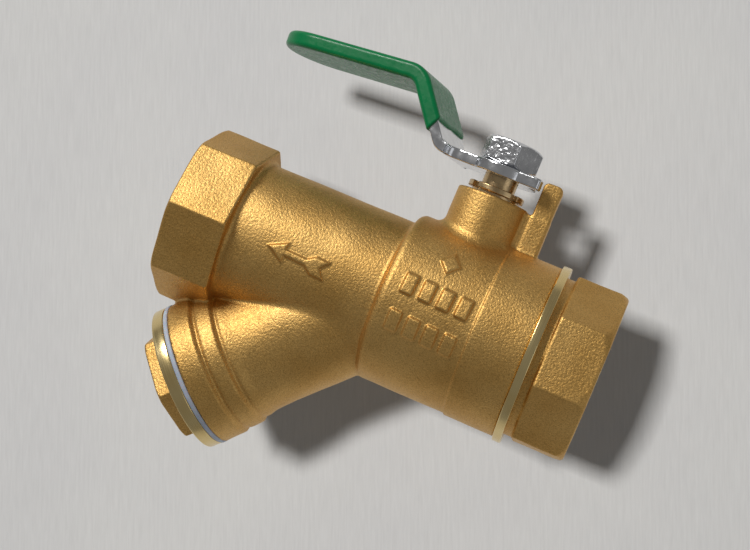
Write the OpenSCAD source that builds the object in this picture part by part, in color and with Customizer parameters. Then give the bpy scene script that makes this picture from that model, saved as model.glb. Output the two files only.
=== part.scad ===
// Ball valve with a built-in Y strainer, DN25 with G1 ports.
// Origin: centre of the outlet port face. +X runs along the pipe towards the inlet, +Z along the stem.
// Water enters at the inlet, passes the ball and the screen in the slanted leg, and leaves at the outlet.

/* [Run] */
// Length over both port faces
overall_length = 105; // [105:0.5:112]
// Size across the flats of both octagons
across_flats = 40; // [39.5:0.5:44]
// Length of the outlet octagon
outlet_octagon_length = 14.1; // [13:0.1:16]
// Outside diameter of the barrel between the outlet octagon and the ball chamber
barrel_d = 36; // [35:0.5:38]
// Distance from the outlet face to the stem axis
stem_x = 66.8; // [66:0.1:67.5]

/* [Ports] */
// Core diameter of the G1 pipe thread
port_core_d = 30.29; // [30.2:0.01:30.4]
// Depth of the threaded part of each port
port_depth = 15; // [13:0.5:16]

/* [Ball] */
// Diameter of the ball
ball_d = 32; // [31.6:0.1:32.4]
// Diameter of the hole through the ball
ball_bore_d = 20; // [18:0.5:20.5]
// Angle between the lever and its fully open position, as drawn
lever_rest_angle = 12; // [0:1:20]

/* [Chamber] */
// Outside diameter of the ball chamber, left of its step
chamber_d = 41.4; // [41:0.1:42]
// Outside diameter of the ball chamber at the end connector
chamber_rim_d = 42.2; // [42:0.1:43]
// Outside diameter of the neck round the stem
neck_d = 17.5; // [17:0.1:18.5]
// Height of the neck's top above the pipe axis
neck_top = 30.4; // [30.2:0.1:31]
// Height of the stop post's top above the pipe axis
post_top = 38.4; // [37.5:0.1:40]

/* [Strainer leg] */
// Angle between the pipe axis and the leg
leg_angle = 45; // [45:1:46]
// Distance from the outlet face to the point where the leg's axis meets the pipe axis
leg_x = 52.7; // [52.4:0.1:53]
// Distance along the leg's axis from the pipe axis to its mouth
leg_reach = 49.7; // [49:0.1:51]
// Outside diameter of the leg below its mouth band
leg_d = 29.8; // [29.6:0.1:31]
// Outside diameter of the leg's mouth, the gasket and the cap's flange
leg_mouth_d = 35.2; // [35:0.1:36]
// Outside diameter of the screen
screen_d = 21.6; // [21:0.1:22]

/* [Lever] */
// Thickness of the lever's steel strip
lever_t = 2.6; // [2.5:0.1:3]
// Width of the lever's grip section
lever_w = 20.6; // [18:0.1:22]
// Reach of the lever's steel from the stem axis
lever_reach = 64.4; // [57:0.1:68]
// Height of the lever plate's underside above the pipe axis
lever_z = 35.3; // [35.2:0.1:35.6]
// Height of the grip section's mid-plane where it leaves the rise
lever_top_z = 51; // [50:0.1:53]
// Thickness of the vinyl on each face of the strip
grip_skin = 0.7; // [0.6:0.1:0.9]

/* [Hidden] */
fine = 96;

// Colours
cast_brass = "#c39a3e";
cut_brass = "#d9b650";
chrome = "#c9ccd1";
white = "#f2f2ee";
green = "#00804a";
steel = "#a8abae";

// Octagons: distance from the centre to a corner, and how far each is turned about the pipe axis
octagon_r = across_flats / 2 / cos(22.5);
outlet_octagon_turn = 1.4;
inlet_octagon_turn = 29;
octagon_face_r = octagon_r - 0.7;
shoulder_length = 2.1;

// Ports
port_r = port_core_d / 2;
port_relief_r = 16.8;
port_relief = 1.6;

// Ball chamber, along the pipe axis
ball_r = ball_d / 2;
bore_r = ball_bore_d / 2;
chamber_start = stem_x - 17.2;
chamber_step = stem_x + 8.8;
body_end = stem_x + 21.4;
cavity_r = ball_r + 0.6;
cavity_start = stem_x - 12.2;
seat_r = 14.2;
seat_back = 14.2;
seat_front = 8.7;
ball_gap = 0.05;
spigot_r = 18.4;
spigot_start = stem_x + 10.5;
spigot_gap = 0.1;

// End connector, along the pipe axis
collar_r = 22;
collar_length = 2.1;
groove_r = 19.6;
groove_length = 2;
inlet_port_bottom = overall_length - port_depth - port_relief;

// Stem, along its axis
stem_r = 4.1;
tang_t = 5;
tang_l = 11;
tang_bottom = 12.4;
slot_t = 5.2;
slot_bottom = 12.2;
shoulder_r = 5.4;
shoulder_bottom = 17;
shoulder_top = 19;
washer_top = 20;
stem_bore_r = stem_r + 0.06;
gland_bore_r = stem_r + 0.1;
packing_bottom = 22.6;
packing_mid = 24.8;
packing_top = 27;
packing_r = 6;
drive_r = 4;
drive_flat = 6;
thread_r = 3.9;
nut_bore_r = 3.95;
nut_af = 13;
nut_h = 6.4;
nut_turn = -3;
gland_flange_r = 6.9;
gland_flange_bottom = 31.2;
gland_flange_t = 1.4;
gland_neck_r = 5.7;
gland_notches = 4;

// Stop post and the lever's stops
post_x0 = 10;
post_x1 = 14.2;
post_half_y = 3;
post_foot_x = 8.4;
stop_gap = 0.1;
ear_r = 11.3;
ear_w = 3.6;
hub_r = 8.5;
lever_neck_w = 13;
lever_bend_r = 14.2;
lever_rise_angle = 52;
grip_start = 3.6;
grip_slope = 3.4;

// Strainer leg, along its axis from the pipe axis
leg_r = leg_d / 2;
leg_mouth_r = leg_mouth_d / 2;
leg_band_start = 35.5;
leg_band_r = 16.4;
leg_bore_r = 12.6;
screen_r = screen_d / 2;
screen_start = 14.2;
screen_end = leg_reach + 0.7;
screen_seat = 2;
inlet_r = 9.7;
passage_r = 9;
passage_start = 11;
wall_inner = 9.5;
wall_outer = 11.8;
strained_r = 14.6;
// Threads are plain here: the leg's at its root diameter and the cap's at its own, so they never touch
cap_thread_r = 14.3;
cap_spigot_r = 13.1;
cap_spigot_length = 9.6;
leg_thread_start = leg_reach - cap_spigot_length - 1.6;
cap_recess_r = screen_r + 0.35;
gasket_t = 1.1;
cap_seat = leg_reach + gasket_t + 0.03;
cap_flange_t = 2.9;
cap_hex_af = 24;
cap_hex_h = 4.2;
cap_hex_turn = 18;
screen_wall = 0.5;
mesh_wall = 0.3;
hole_d = 3;
holes_round = 12;
hole_rows = 7;
hole_pitch = 4.2;

// A solid cylinder along the pipe axis, from x0 to x1
module along_x(x0, x1, r) {
    translate([x0, 0, 0]) rotate([0, 90, 0]) cylinder(h = x1 - x0, r = r, $fn = fine);
}

// A cone along the pipe axis, from radius ra at x0 to rb at x1
module cone_x(x0, x1, ra, rb) {
    translate([x0, 0, 0]) rotate([0, 90, 0]) cylinder(h = x1 - x0, r1 = ra, r2 = rb, $fn = fine);
}

// A solid turned about the pipe axis. The outline's points are [radius, x]
module turned_x(outline) {
    rotate([0, 90, 0]) rotate_extrude($fn = fine) polygon(outline);
}

// An octagonal bar along the pipe axis, trimmed to a turned outline
module octagon_x(x0, x1, turn, outline) {
    intersection() {
        translate([x0, 0, 0]) rotate([0, 90, 0]) rotate([0, 0, -turn])
            cylinder(h = x1 - x0, r = octagon_r, $fn = 8);
        turned_x(outline);
    }
}

// Puts its children in the leg's own axes: origin where the axes meet, local +Z down the leg
module in_leg() {
    translate([leg_x, 0, 0]) rotate([0, -180 + 90 - leg_angle, 0]) children();
}

// A solid cylinder along the leg, from s0 to s1
module along_leg(s0, s1, r) {
    in_leg() translate([0, 0, s0]) cylinder(h = s1 - s0, r = r, $fn = fine);
}

// A solid turned about the leg's axis. The outline's points are [radius, distance along the leg]
module turned_leg(outline) {
    in_leg() rotate_extrude($fn = fine) polygon(outline);
}

// A solid cylinder along the stem axis, from z0 to z1
module along_stem(z0, z1, r) {
    translate([stem_x, 0, z0]) cylinder(h = z1 - z0, r = r, $fn = fine);
}

// Turns its children about the stem axis from fully open to the position drawn
module on_stem() {
    translate([stem_x, 0, 0]) rotate([0, 0, -lever_rest_angle]) children();
}

// Raised arrow on the near side of the barrel, pointing to the outlet
module flow_arrow() {
    intersection() {
        translate([0, -barrel_d / 2 + 1, 0]) rotate([90, 0, 0]) linear_extrude(height = 3) union() {
            polygon([[25, 0], [29.4, 2.4], [29.4, 0.75], [34.6, 0.75], [36.6, 2.2], [40, 2.2],
                     [38.2, 0], [40, -2.2], [36.6, -2.2], [34.6, -0.75], [29.4, -0.75], [29.4, -2.4]]);
        }
        along_x(24, 41, barrel_d / 2 + 0.6);
    }
}

// The casting's outside: octagon, barrel, ball chamber, neck, stop post and leg
module body_outside() {
    shoulder_end = outlet_octagon_length + shoulder_length;
    octagon_x(0, shoulder_end, outlet_octagon_turn,
              [[0, 0], [octagon_face_r, 0], [octagon_r + 0.3, 1], [octagon_r + 0.3, outlet_octagon_length],
               [barrel_d / 2 - 0.1, shoulder_end], [0, shoulder_end]]);
    turned_x([[0, port_depth - 3], [barrel_d / 2, port_depth - 3], [barrel_d / 2, chamber_start],
              [chamber_d / 2, chamber_start + 2.2], [chamber_d / 2, chamber_step],
              [chamber_rim_d / 2, chamber_step], [chamber_rim_d / 2, body_end], [0, body_end]]);
    along_stem(0, neck_top, neck_d / 2);
    translate([stem_x + post_x0, -post_half_y, 0]) cube([post_x1 - post_x0, 2 * post_half_y, post_top]);
    translate([stem_x + post_foot_x, 0.1 - post_half_y, 0])
        cube([post_x1 - post_foot_x - 0.1, 2 * post_half_y - 0.2, neck_top - 0.4]);
    turned_leg([[0, 2], [leg_r, 2], [leg_r, leg_band_start], [leg_band_r, leg_band_start + 4],
                [leg_mouth_r, leg_reach], [0, leg_reach]]);
    flow_arrow();
}

// The casting's inside: outlet port, strained-water space, screen leg, passage from the ball, ball
// chamber, connector thread and stem bores. A slanted wall parts the passage from the strained water
module body_inside() {
    turned_x([[0, -1], [port_r, -1], [port_r, port_depth], [port_relief_r, port_depth],
              [port_relief_r, port_depth + port_relief], [0, port_depth + port_relief]]);
    intersection() {
        along_x(port_depth, chamber_start, strained_r);
        in_leg() union() {
            translate([wall_outer, -30, -60]) cube([60, 60, 140]);
            translate([-30, -30, screen_start + screen_seat + 1.3]) cube([90, 60, 80]);
        }
    }
    intersection() {
        along_x(chamber_start - 20, stem_x - seat_back + 0.5, inlet_r);
        in_leg() translate([wall_inner - 60, -30, -60]) cube([60, 60, 140]);
    }
    turned_leg([[0, passage_start], [passage_r, passage_start], [passage_r, screen_start],
                [screen_r + 0.3, screen_start], [screen_r + 0.3, screen_start + screen_seat],
                [leg_bore_r, screen_start + screen_seat], [leg_bore_r, leg_thread_start],
                [cap_thread_r, leg_thread_start], [cap_thread_r, leg_reach + 1], [0, leg_reach + 1]]);
    turned_x([[0, stem_x - seat_back], [seat_r, stem_x - seat_back], [seat_r, cavity_start],
              [cavity_r, cavity_start], [cavity_r, spigot_start - 1.5],
              [spigot_r + spigot_gap, spigot_start - 1.5], [spigot_r + spigot_gap, body_end + 1],
              [0, body_end + 1]]);
    translate([stem_x, 0, 0]) rotate_extrude($fn = fine)
        polygon([[0, 10], [shoulder_r + 0.15, 10], [shoulder_r + 0.15, washer_top],
                 [stem_bore_r, washer_top], [stem_bore_r, packing_bottom], [packing_r, packing_bottom],
                 [packing_r, neck_top + 1], [0, neck_top + 1]]);
}

// Cast brass body with the outlet port, ball chamber, neck, stop post and strainer leg
module valve_body() {
    color(cast_brass) difference() {
        body_outside();
        body_inside();
    }
}

// Inlet end: a spigot screwed into the ball chamber, a turned collar and an octagon with the inlet port
module end_connector() {
    color(cast_brass) difference() {
        union() {
            along_x(spigot_start, body_end + 0.01, spigot_r);
            along_x(body_end, body_end + collar_length, collar_r);
            along_x(body_end + collar_length - 0.01, body_end + collar_length + groove_length + 1, groove_r);
            octagon_x(body_end + collar_length + groove_length, overall_length, inlet_octagon_turn,
                      [[0, body_end], [octagon_r + 0.3, body_end], [octagon_r + 0.3, overall_length - 1],
                       [octagon_face_r, overall_length], [0, overall_length]]);
        }
        along_x(spigot_start - 1, stem_x + seat_back, seat_r);
        along_x(stem_x + seat_back - 1, overall_length, bore_r);
        cone_x(stem_x + seat_back + 3, inlet_port_bottom + 0.01, bore_r, port_r - 1.5);
        along_x(inlet_port_bottom, inlet_port_bottom + port_relief, port_relief_r);
        along_x(inlet_port_bottom, overall_length + 1, port_r);
    }
}

// Sealing ring between the spigot's end and the chamber's inner step
module body_seal() {
    color(white) difference() {
        along_x(spigot_start - 1.5, spigot_start - 0.02, spigot_r);
        along_x(spigot_start - 2, spigot_start + 1, cavity_r);
    }
}

// Ball seat: a ring with a spherical face towards the ball. side is -1 at the outlet and 1 at the inlet
module seat(side) {
    color(white) difference() {
        along_x(stem_x + min(side * seat_front, side * seat_back),
                stem_x + max(side * seat_front, side * seat_back), seat_r - 0.02);
        along_x(stem_x - 20, stem_x + 20, bore_r + 0.3);
        translate([stem_x, 0, 0]) sphere(r = ball_r + ball_gap, $fn = fine);
    }
}

module outlet_seat() {
    seat(-1);
}

module inlet_seat() {
    seat(1);
}

// Ball with its waterway and the slot that takes the stem's tang
module ball() {
    color(chrome) on_stem() difference() {
        sphere(r = ball_r, $fn = fine);
        rotate([0, 90, 0]) cylinder(h = 2 * ball_d, r = bore_r, center = true, $fn = fine);
        translate([-ball_r, -slot_t / 2, slot_bottom]) cube([ball_d, slot_t, ball_r]);
    }
}

// Stem: tang, blow-out shoulder, round shank, two flats for the lever and a thread for the nut
module stem() {
    drive_start = lever_z - 0.05;
    drive_h = lever_t + 0.065;
    color(cut_brass) on_stem() union() {
        intersection() {
            translate([-tang_l / 2, -tang_t / 2, tang_bottom]) cube([tang_l, tang_t, shoulder_bottom]);
            cylinder(h = shoulder_bottom + 0.01, r = shoulder_r, $fn = fine);
        }
        translate([0, 0, shoulder_bottom])
            cylinder(h = shoulder_top - shoulder_bottom, r = shoulder_r, $fn = fine);
        translate([0, 0, shoulder_top - 0.01])
            cylinder(h = lever_z - shoulder_top - 0.02, r = stem_r, $fn = fine);
        intersection() {
            translate([0, 0, drive_start]) cylinder(h = drive_h, r = drive_r, $fn = fine);
            translate([-drive_r, -drive_flat / 2, drive_start]) cube([2 * drive_r, drive_flat, drive_h]);
        }
        translate([0, 0, drive_start + drive_h - 0.01]) cylinder(h = nut_h - 0.4, r = thread_r, $fn = fine);
    }
}

// A flat ring round the stem
module stem_ring(z0, z1, outer, inner) {
    difference() {
        along_stem(z0, z1, outer);
        along_stem(z0 - 1, z1 + 1, inner);
    }
}

// Low-friction washer above the stem's shoulder
module thrust_washer() {
    color(white) stem_ring(shoulder_top + 0.02, washer_top, shoulder_r + 0.1, stem_bore_r + 0.05);
}

module packing_lower() {
    color(white) stem_ring(packing_bottom, packing_mid, packing_r - 0.02, stem_r + 0.03);
}

module packing_upper() {
    color(white) stem_ring(packing_mid, packing_top, packing_r - 0.02, stem_r + 0.03);
}

// Gland nut: threaded barrel inside the neck and a thin notched flange above it
module gland_nut() {
    flange_top = gland_flange_bottom + gland_flange_t;
    color(cut_brass) difference() {
        union() {
            along_stem(packing_top, neck_top - 0.6, packing_r - 0.03);
            along_stem(neck_top - 0.61, gland_flange_bottom + 0.01, gland_neck_r);
            along_stem(gland_flange_bottom, flange_top, gland_flange_r);
        }
        along_stem(packing_top - 1, flange_top + 1, gland_bore_r);
        for (k = [0 : gland_notches - 1]) {
            translate([stem_x, 0, 0]) rotate([0, 0, 45 + k * 360 / gland_notches])
                translate([gland_neck_r - 0.1, -1, gland_flange_bottom - 0.01])
                    cube([3, 2, gland_flange_t + 1]);
        }
    }
}

// Profile of the strip in the lever's own plane: distance from the stem axis, then height
rise_dir = [cos(lever_rise_angle), sin(lever_rise_angle)];
slope_dir = [cos(grip_slope), -sin(grip_slope)];
mid_0 = [lever_bend_r, lever_z + lever_t / 2];
rise_length = (lever_top_z - mid_0[1]) / rise_dir[1];
mid_1 = mid_0 + rise_length * rise_dir;
mid_2 = mid_1 + (lever_reach - mid_1[0]) / slope_dir[0] * slope_dir;

// The direction halfway across the corner between two unit directions, scaled to keep the strip's thickness
function mitre(a, b) = let (n = [-(a[1] + b[1]), a[0] + b[0]]) n / (n * [-a[1], a[0]]);

// Side outline of a strip of half thickness h, whose ends are at distances from and to along the mid-line
function strip_side(h, first, last, corner) = [
    first + h * corner[0], mid_1 + h * corner[1], last + h * corner[2],
    last - h * corner[2], mid_1 - h * corner[1], first - h * corner[0]];
rise_normal = [-rise_dir[1], rise_dir[0]];
slope_normal = [-slope_dir[1], slope_dir[0]];
turn_normal = mitre(rise_dir, slope_dir);
foot_normal = mitre([1, 0], rise_dir);

// Stands a side outline up in the lever's plane, with width w. The lever points towards the outlet
module upright(w) {
    rotate([90, 0, 180]) translate([0, 0, -w / 2]) linear_extrude(height = w) children();
}

// One of the two ears that meet the stop post
module stop_ear() {
    translate([0, -post_half_y - stop_gap - ear_w, lever_z]) linear_extrude(height = lever_t)
        polygon([[0, 0], [ear_r - 2, 0], [ear_r - 0.5, 1.5], [ear_r - 0.5, ear_w], [0, ear_w]]);
}

// Hub plate with the hole for the stem's flats and the two stop ears
module lever_hub() {
    difference() {
        union() {
            translate([0, 0, lever_z]) cylinder(h = lever_t, r = hub_r, $fn = fine);
            translate([-lever_bend_r + 0.6, -lever_neck_w / 2, lever_z])
                cube([lever_bend_r - 0.6, lever_neck_w, lever_t]);
            translate([-lever_bend_r - 0.6, -lever_w / 2, lever_z]) cube([2.6, lever_w, lever_t]);
            stop_ear();
            rotate([0, 0, 90]) mirror([0, 1, 0]) stop_ear();
        }
        intersection() {
            translate([0, 0, lever_z - 1]) cylinder(h = lever_t + 2, r = drive_r + 0.08, $fn = fine);
            translate([-drive_r - 1, -drive_flat / 2 - 0.08, lever_z - 1])
                cube([2 * drive_r + 2, drive_flat + 0.16, lever_t + 2]);
        }
    }
}

// Pressed steel lever: hub plate, rise and grip section with a round end
module lever() {
    h = lever_t / 2;
    color(chrome) on_stem() union() {
        lever_hub();
        intersection() {
            upright(lever_w) polygon(strip_side(h, mid_0, mid_2, [foot_normal, turn_normal, slope_normal]));
            union() {
                translate([-lever_reach + lever_w / 2, -lever_w / 2, 0]) cube([lever_reach, lever_w, 60]);
                translate([-lever_reach + lever_w / 2, 0, 0]) cylinder(h = 60, r = lever_w / 2, $fn = fine);
            }
        }
    }
}

// Dipped vinyl grip: a sleeve over the rise's upper part and the whole grip section
module lever_grip() {
    h = lever_t / 2 + 0.03;
    first = mid_0 + grip_start * rise_dir;
    slack = 0.04;
    color(green) on_stem() difference() {
        intersection() {
            upright(lever_w + 2 * grip_skin)
                polygon(strip_side(h + grip_skin, first, mid_2 + grip_skin * slope_dir,
                                   [rise_normal, turn_normal, slope_normal]));
            union() {
                translate([-lever_reach + lever_w / 2, -lever_w / 2 - grip_skin, 0])
                    cube([lever_reach, lever_w + 2 * grip_skin, 60]);
                translate([-lever_reach + lever_w / 2, 0, 0])
                    cylinder(h = 60, r = lever_w / 2 + grip_skin, $fn = fine);
            }
        }
        intersection() {
            upright(lever_w + 2 * slack)
                polygon(strip_side(h, mid_0, mid_2 + slack * slope_dir,
                                   [foot_normal, turn_normal, slope_normal]));
            union() {
                translate([-lever_reach + lever_w / 2, -lever_w / 2 - slack, 0])
                    cube([lever_reach, lever_w + 2 * slack, 60]);
                translate([-lever_reach + lever_w / 2, 0, 0])
                    cylinder(h = 60, r = lever_w / 2 + slack, $fn = fine);
            }
        }
    }
}

// Hexagon nut that holds the lever, chamfered at both ends
module lever_nut() {
    corner_r = nut_af / 2 / cos(30);
    face_r = nut_af / 2 - 0.2;
    chamfer = 0.9;
    color(chrome) on_stem() translate([0, 0, lever_z + lever_t + 0.02]) difference() {
        intersection() {
            rotate([0, 0, nut_turn]) cylinder(h = nut_h, r = corner_r, $fn = 6);
            rotate_extrude($fn = fine)
                polygon([[0, 0], [face_r, 0], [corner_r + 0.2, chamfer], [corner_r + 0.2, nut_h - chamfer],
                         [face_r, nut_h], [0, nut_h]]);
        }
        translate([0, 0, -1]) cylinder(h = nut_h + 2, r = nut_bore_r, $fn = fine);
    }
}

// Cap: hexagon head, turned flange and a hollow threaded spigot that holds the screen's outer end
module strainer_cap() {
    color(cut_brass) difference() {
        union() {
            along_leg(cap_seat - gasket_t - cap_spigot_length, cap_seat + 0.01, cap_spigot_r);
            along_leg(cap_seat, cap_seat + cap_flange_t, leg_mouth_r);
            in_leg() translate([0, 0, cap_seat + cap_flange_t - 0.01]) rotate([0, 0, cap_hex_turn])
                cylinder(h = cap_hex_h, r = cap_hex_af / 2 / cos(30), $fn = 6);
        }
        along_leg(cap_seat - gasket_t - cap_spigot_length - 1, screen_end + 0.05, cap_recess_r);
    }
}

// Flat sealing ring between the leg's mouth and the cap's flange
module cap_gasket() {
    color(white) difference() {
        along_leg(leg_reach, leg_reach + gasket_t, leg_mouth_r);
        along_leg(leg_reach - 1, leg_reach + gasket_t + 1, cap_thread_r + 0.1);
    }
}

// Perforated tube of the screen
module screen_tube() {
    color(steel) difference() {
        along_leg(screen_start + 0.1, screen_end, screen_r);
        along_leg(screen_start - 1, screen_end + 1, screen_r - screen_wall);
        for (row = [0 : hole_rows - 1], k = [0 : holes_round - 1]) {
            in_leg() translate([0, 0, screen_start + 5.2 + row * hole_pitch])
                rotate([0, 0, (k + (row % 2) / 2) * 360 / holes_round]) rotate([0, 90, 0])
                    translate([0, 0, screen_r - 1.5]) cylinder(h = 2.5, d = hole_d, $fn = 24);
        }
    }
}

// Fine mesh liner inside the perforated tube
module screen_mesh() {
    outer = screen_r - screen_wall - 0.02;
    color(steel) difference() {
        along_leg(screen_start + 0.4, screen_end - 0.3, outer);
        along_leg(screen_start - 1, screen_end + 1, outer - mesh_wall);
    }
}

// Stiffening ring inside one end of the screen
module screen_ring(s0, s1) {
    outer = screen_r - screen_wall - mesh_wall - 0.04;
    color(steel) difference() {
        along_leg(s0, s1, outer);
        along_leg(s0 - 1, s1 + 1, outer - 0.6);
    }
}

module screen_inner_ring() {
    screen_ring(screen_start + 0.1, screen_start + 2.6);
}

module screen_outer_ring() {
    screen_ring(screen_end - 2.5, screen_end);
}

valve_body();
end_connector();
body_seal();
outlet_seat();
inlet_seat();
ball();
stem();
thrust_washer();
packing_lower();
packing_upper();
gland_nut();
lever();
lever_grip();
lever_nut();
strainer_cap();
cap_gasket();
screen_tube();
screen_mesh();
screen_inner_ring();
screen_outer_ring();
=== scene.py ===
"""Looks of the ball valve with a built-in Y strainer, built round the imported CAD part."""

import math

import bpy
import numpy as np
from mathutils import Matrix, Vector


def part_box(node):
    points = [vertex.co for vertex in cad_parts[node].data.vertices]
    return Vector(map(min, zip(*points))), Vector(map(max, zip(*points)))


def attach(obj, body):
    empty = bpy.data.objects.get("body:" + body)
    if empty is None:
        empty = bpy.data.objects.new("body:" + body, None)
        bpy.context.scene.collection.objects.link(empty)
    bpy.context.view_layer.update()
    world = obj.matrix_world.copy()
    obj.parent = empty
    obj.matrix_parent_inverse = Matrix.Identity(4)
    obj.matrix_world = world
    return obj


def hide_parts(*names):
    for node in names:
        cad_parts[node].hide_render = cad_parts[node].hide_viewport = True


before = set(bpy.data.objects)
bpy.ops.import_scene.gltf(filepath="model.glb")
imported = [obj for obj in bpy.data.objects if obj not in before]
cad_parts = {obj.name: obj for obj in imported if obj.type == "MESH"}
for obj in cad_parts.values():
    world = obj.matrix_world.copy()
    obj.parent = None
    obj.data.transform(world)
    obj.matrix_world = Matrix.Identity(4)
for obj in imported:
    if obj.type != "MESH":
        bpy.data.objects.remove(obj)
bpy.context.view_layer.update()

# Shapes are worked out in millimetres, in the part's own frame, and scaled when a mesh is made
MM = 0.001
# Sine and cosine of 45 degrees, the slope of the strainer leg
HALF_ROOT = math.sqrt(0.5)


def box_mm(node):
    """Lowest and highest corner of a CAD node, in millimetres."""
    low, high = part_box(node)
    return np.array(low) / MM, np.array(high) / MM


body_low, body_high = box_mm("valve_body")
connector_low, connector_high = box_mm("end_connector")
stem_low, stem_high = box_mm("stem")
gland_low, gland_high = box_mm("gland_nut")
nut_low, nut_high = box_mm("lever_nut")
lever_low, lever_high = box_mm("lever")
grip_low, grip_high = box_mm("lever_grip")
cap_low, cap_high = box_mm("strainer_cap")

LENGTH = connector_high[0]
STEM_X = (stem_low[0] + stem_high[0]) / 2
BODY_END = body_high[0]
# Octagons at both ends. OCTAGON_FLAT is half the size across the flats, turns are in degrees
OCTAGON_FLAT = 20.0
OCTAGON_CORNER = 0.9
OCTAGON_EDGE = 0.6
HALF_SECTOR = 22.5
OUTLET_TURN = 1.4
INLET_TURN = 29.0
OUTLET_LENGTH = 14.9
# Barrel and ball chamber, with the step to the chamber's slightly wider rim
BARREL_R = 18.0
CHAMBER_START = 52.7
CHAMBER_STEP = 75.6
CHAMBER_R = 20.7
CHAMBER_RIM_R = 21.1
# Neck round the stem, and the lever's stop post beside it
NECK_R = 8.75
NECK_TOP = gland_high[2] - 2.2
POST_CENTRE = STEM_X + 12.3
POST_HALF_X = 2.35
POST_HALF_Y = 3.0
POST_TOP = body_high[2]
# Strainer leg: where its axis meets the pipe's, and its length from there
LEG_X = 52.7
LEG_REACH = 49.7
# Ports. The casting is bored to LINER_R, and the threaded liner fills the rest
PORT_CORE_R = 15.145
PORT_DEPTH = 15.0
PORT_RELIEF = 1.6
LINER_R = 17.0
# Turned collar and relief groove of the inlet end
COLLAR_R = 22.0
COLLAR_LENGTH = 2.1
GROOVE_R = 19.6
GROOVE_LENGTH = 2.0
# As drawn, the lever stands this far round the stem from the pipe's direction
REST_TURN = math.radians(-12.0)


# ---------------------------------------------------------------- distance fields


def joined(a, b, fillet):
    """Union of two distance fields with a concave fillet."""
    corner = np.hypot(np.maximum(fillet - a, 0), np.maximum(fillet - b, 0))
    return np.maximum(fillet, np.minimum(a, b)) - corner


def overlap(a, b, rounding):
    """Intersection of two distance fields with a rounded edge."""
    corner = np.hypot(np.maximum(rounding + a, 0), np.maximum(rounding + b, 0))
    return np.minimum(-rounding, np.maximum(a, b)) + corner


def between(v, low, high):
    """Distance outside the slab from low to high."""
    return np.abs(v - (low + high) / 2) - (high - low) / 2


def regular_bar(p, q, sides, turn, flat, corner):
    """Distance to a bar with a regular polygon as its section. turn is one flat's direction in radians."""
    sector = 2 * math.pi / sides
    angle = np.abs(np.mod(np.arctan2(q, p) - turn + sector / 2, sector) - sector / 2)
    radius = np.hypot(p, q)
    inner = flat - corner
    out = radius * np.cos(angle) - inner
    side = radius * np.sin(angle) - inner * math.tan(sector / 2)
    return np.where(side > 0, np.hypot(out, side), out) - corner


def polygon_distance(p, q, points):
    """Signed distance to a closed polygon."""
    best = None
    inside = None
    for (ax, ay), (bx, by) in zip(points, points[1:] + points[:1]):
        ex, ey = bx - ax, by - ay
        wx, wy = p - ax, q - ay
        t = np.clip((wx * ex + wy * ey) / (ex * ex + ey * ey), 0, 1)
        d = np.hypot(wx - ex * t, wy - ey * t)
        crosses = ((q >= ay) != (q >= by)) & (wx * ey * np.sign(by - ay) < wy * ex * np.sign(by - ay))
        best = d if best is None else np.minimum(best, d)
        inside = crosses if inside is None else inside ^ crosses
    return np.where(inside, -best, best)


def leg_axes(x, y, z):
    """Distance along the leg, offset from its axis in the pipe's upright plane, and radius about it."""
    along = -((x - LEG_X) + z) * HALF_ROOT
    side = ((x - LEG_X) - z) * HALF_ROOT
    return along, side, np.hypot(side, y)


def cast_waves(x, y, z):
    """Slow unevenness of a sand casting, a few hundredths of a millimetre."""
    return 0.035 * (np.sin(0.61 * x + 1.3) * np.sin(0.53 * y + 0.4) + np.sin(0.47 * z + 0.31 * x))


# ---------------------------------------------------------------- meshes

ARC_POINTS = 5
SHARP_ANGLE = math.radians(40)


def grid_axis(low, high, step, fine_step, fine):
    """Grid positions from low to high, closer together inside the ranges in fine."""
    points = [low]
    while points[-1] < high:
        here = points[-1]
        dense = any(a <= here <= b for a, b in fine)
        points.append(here + (fine_step if dense else step))
    return np.array(points, np.float32)


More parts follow.
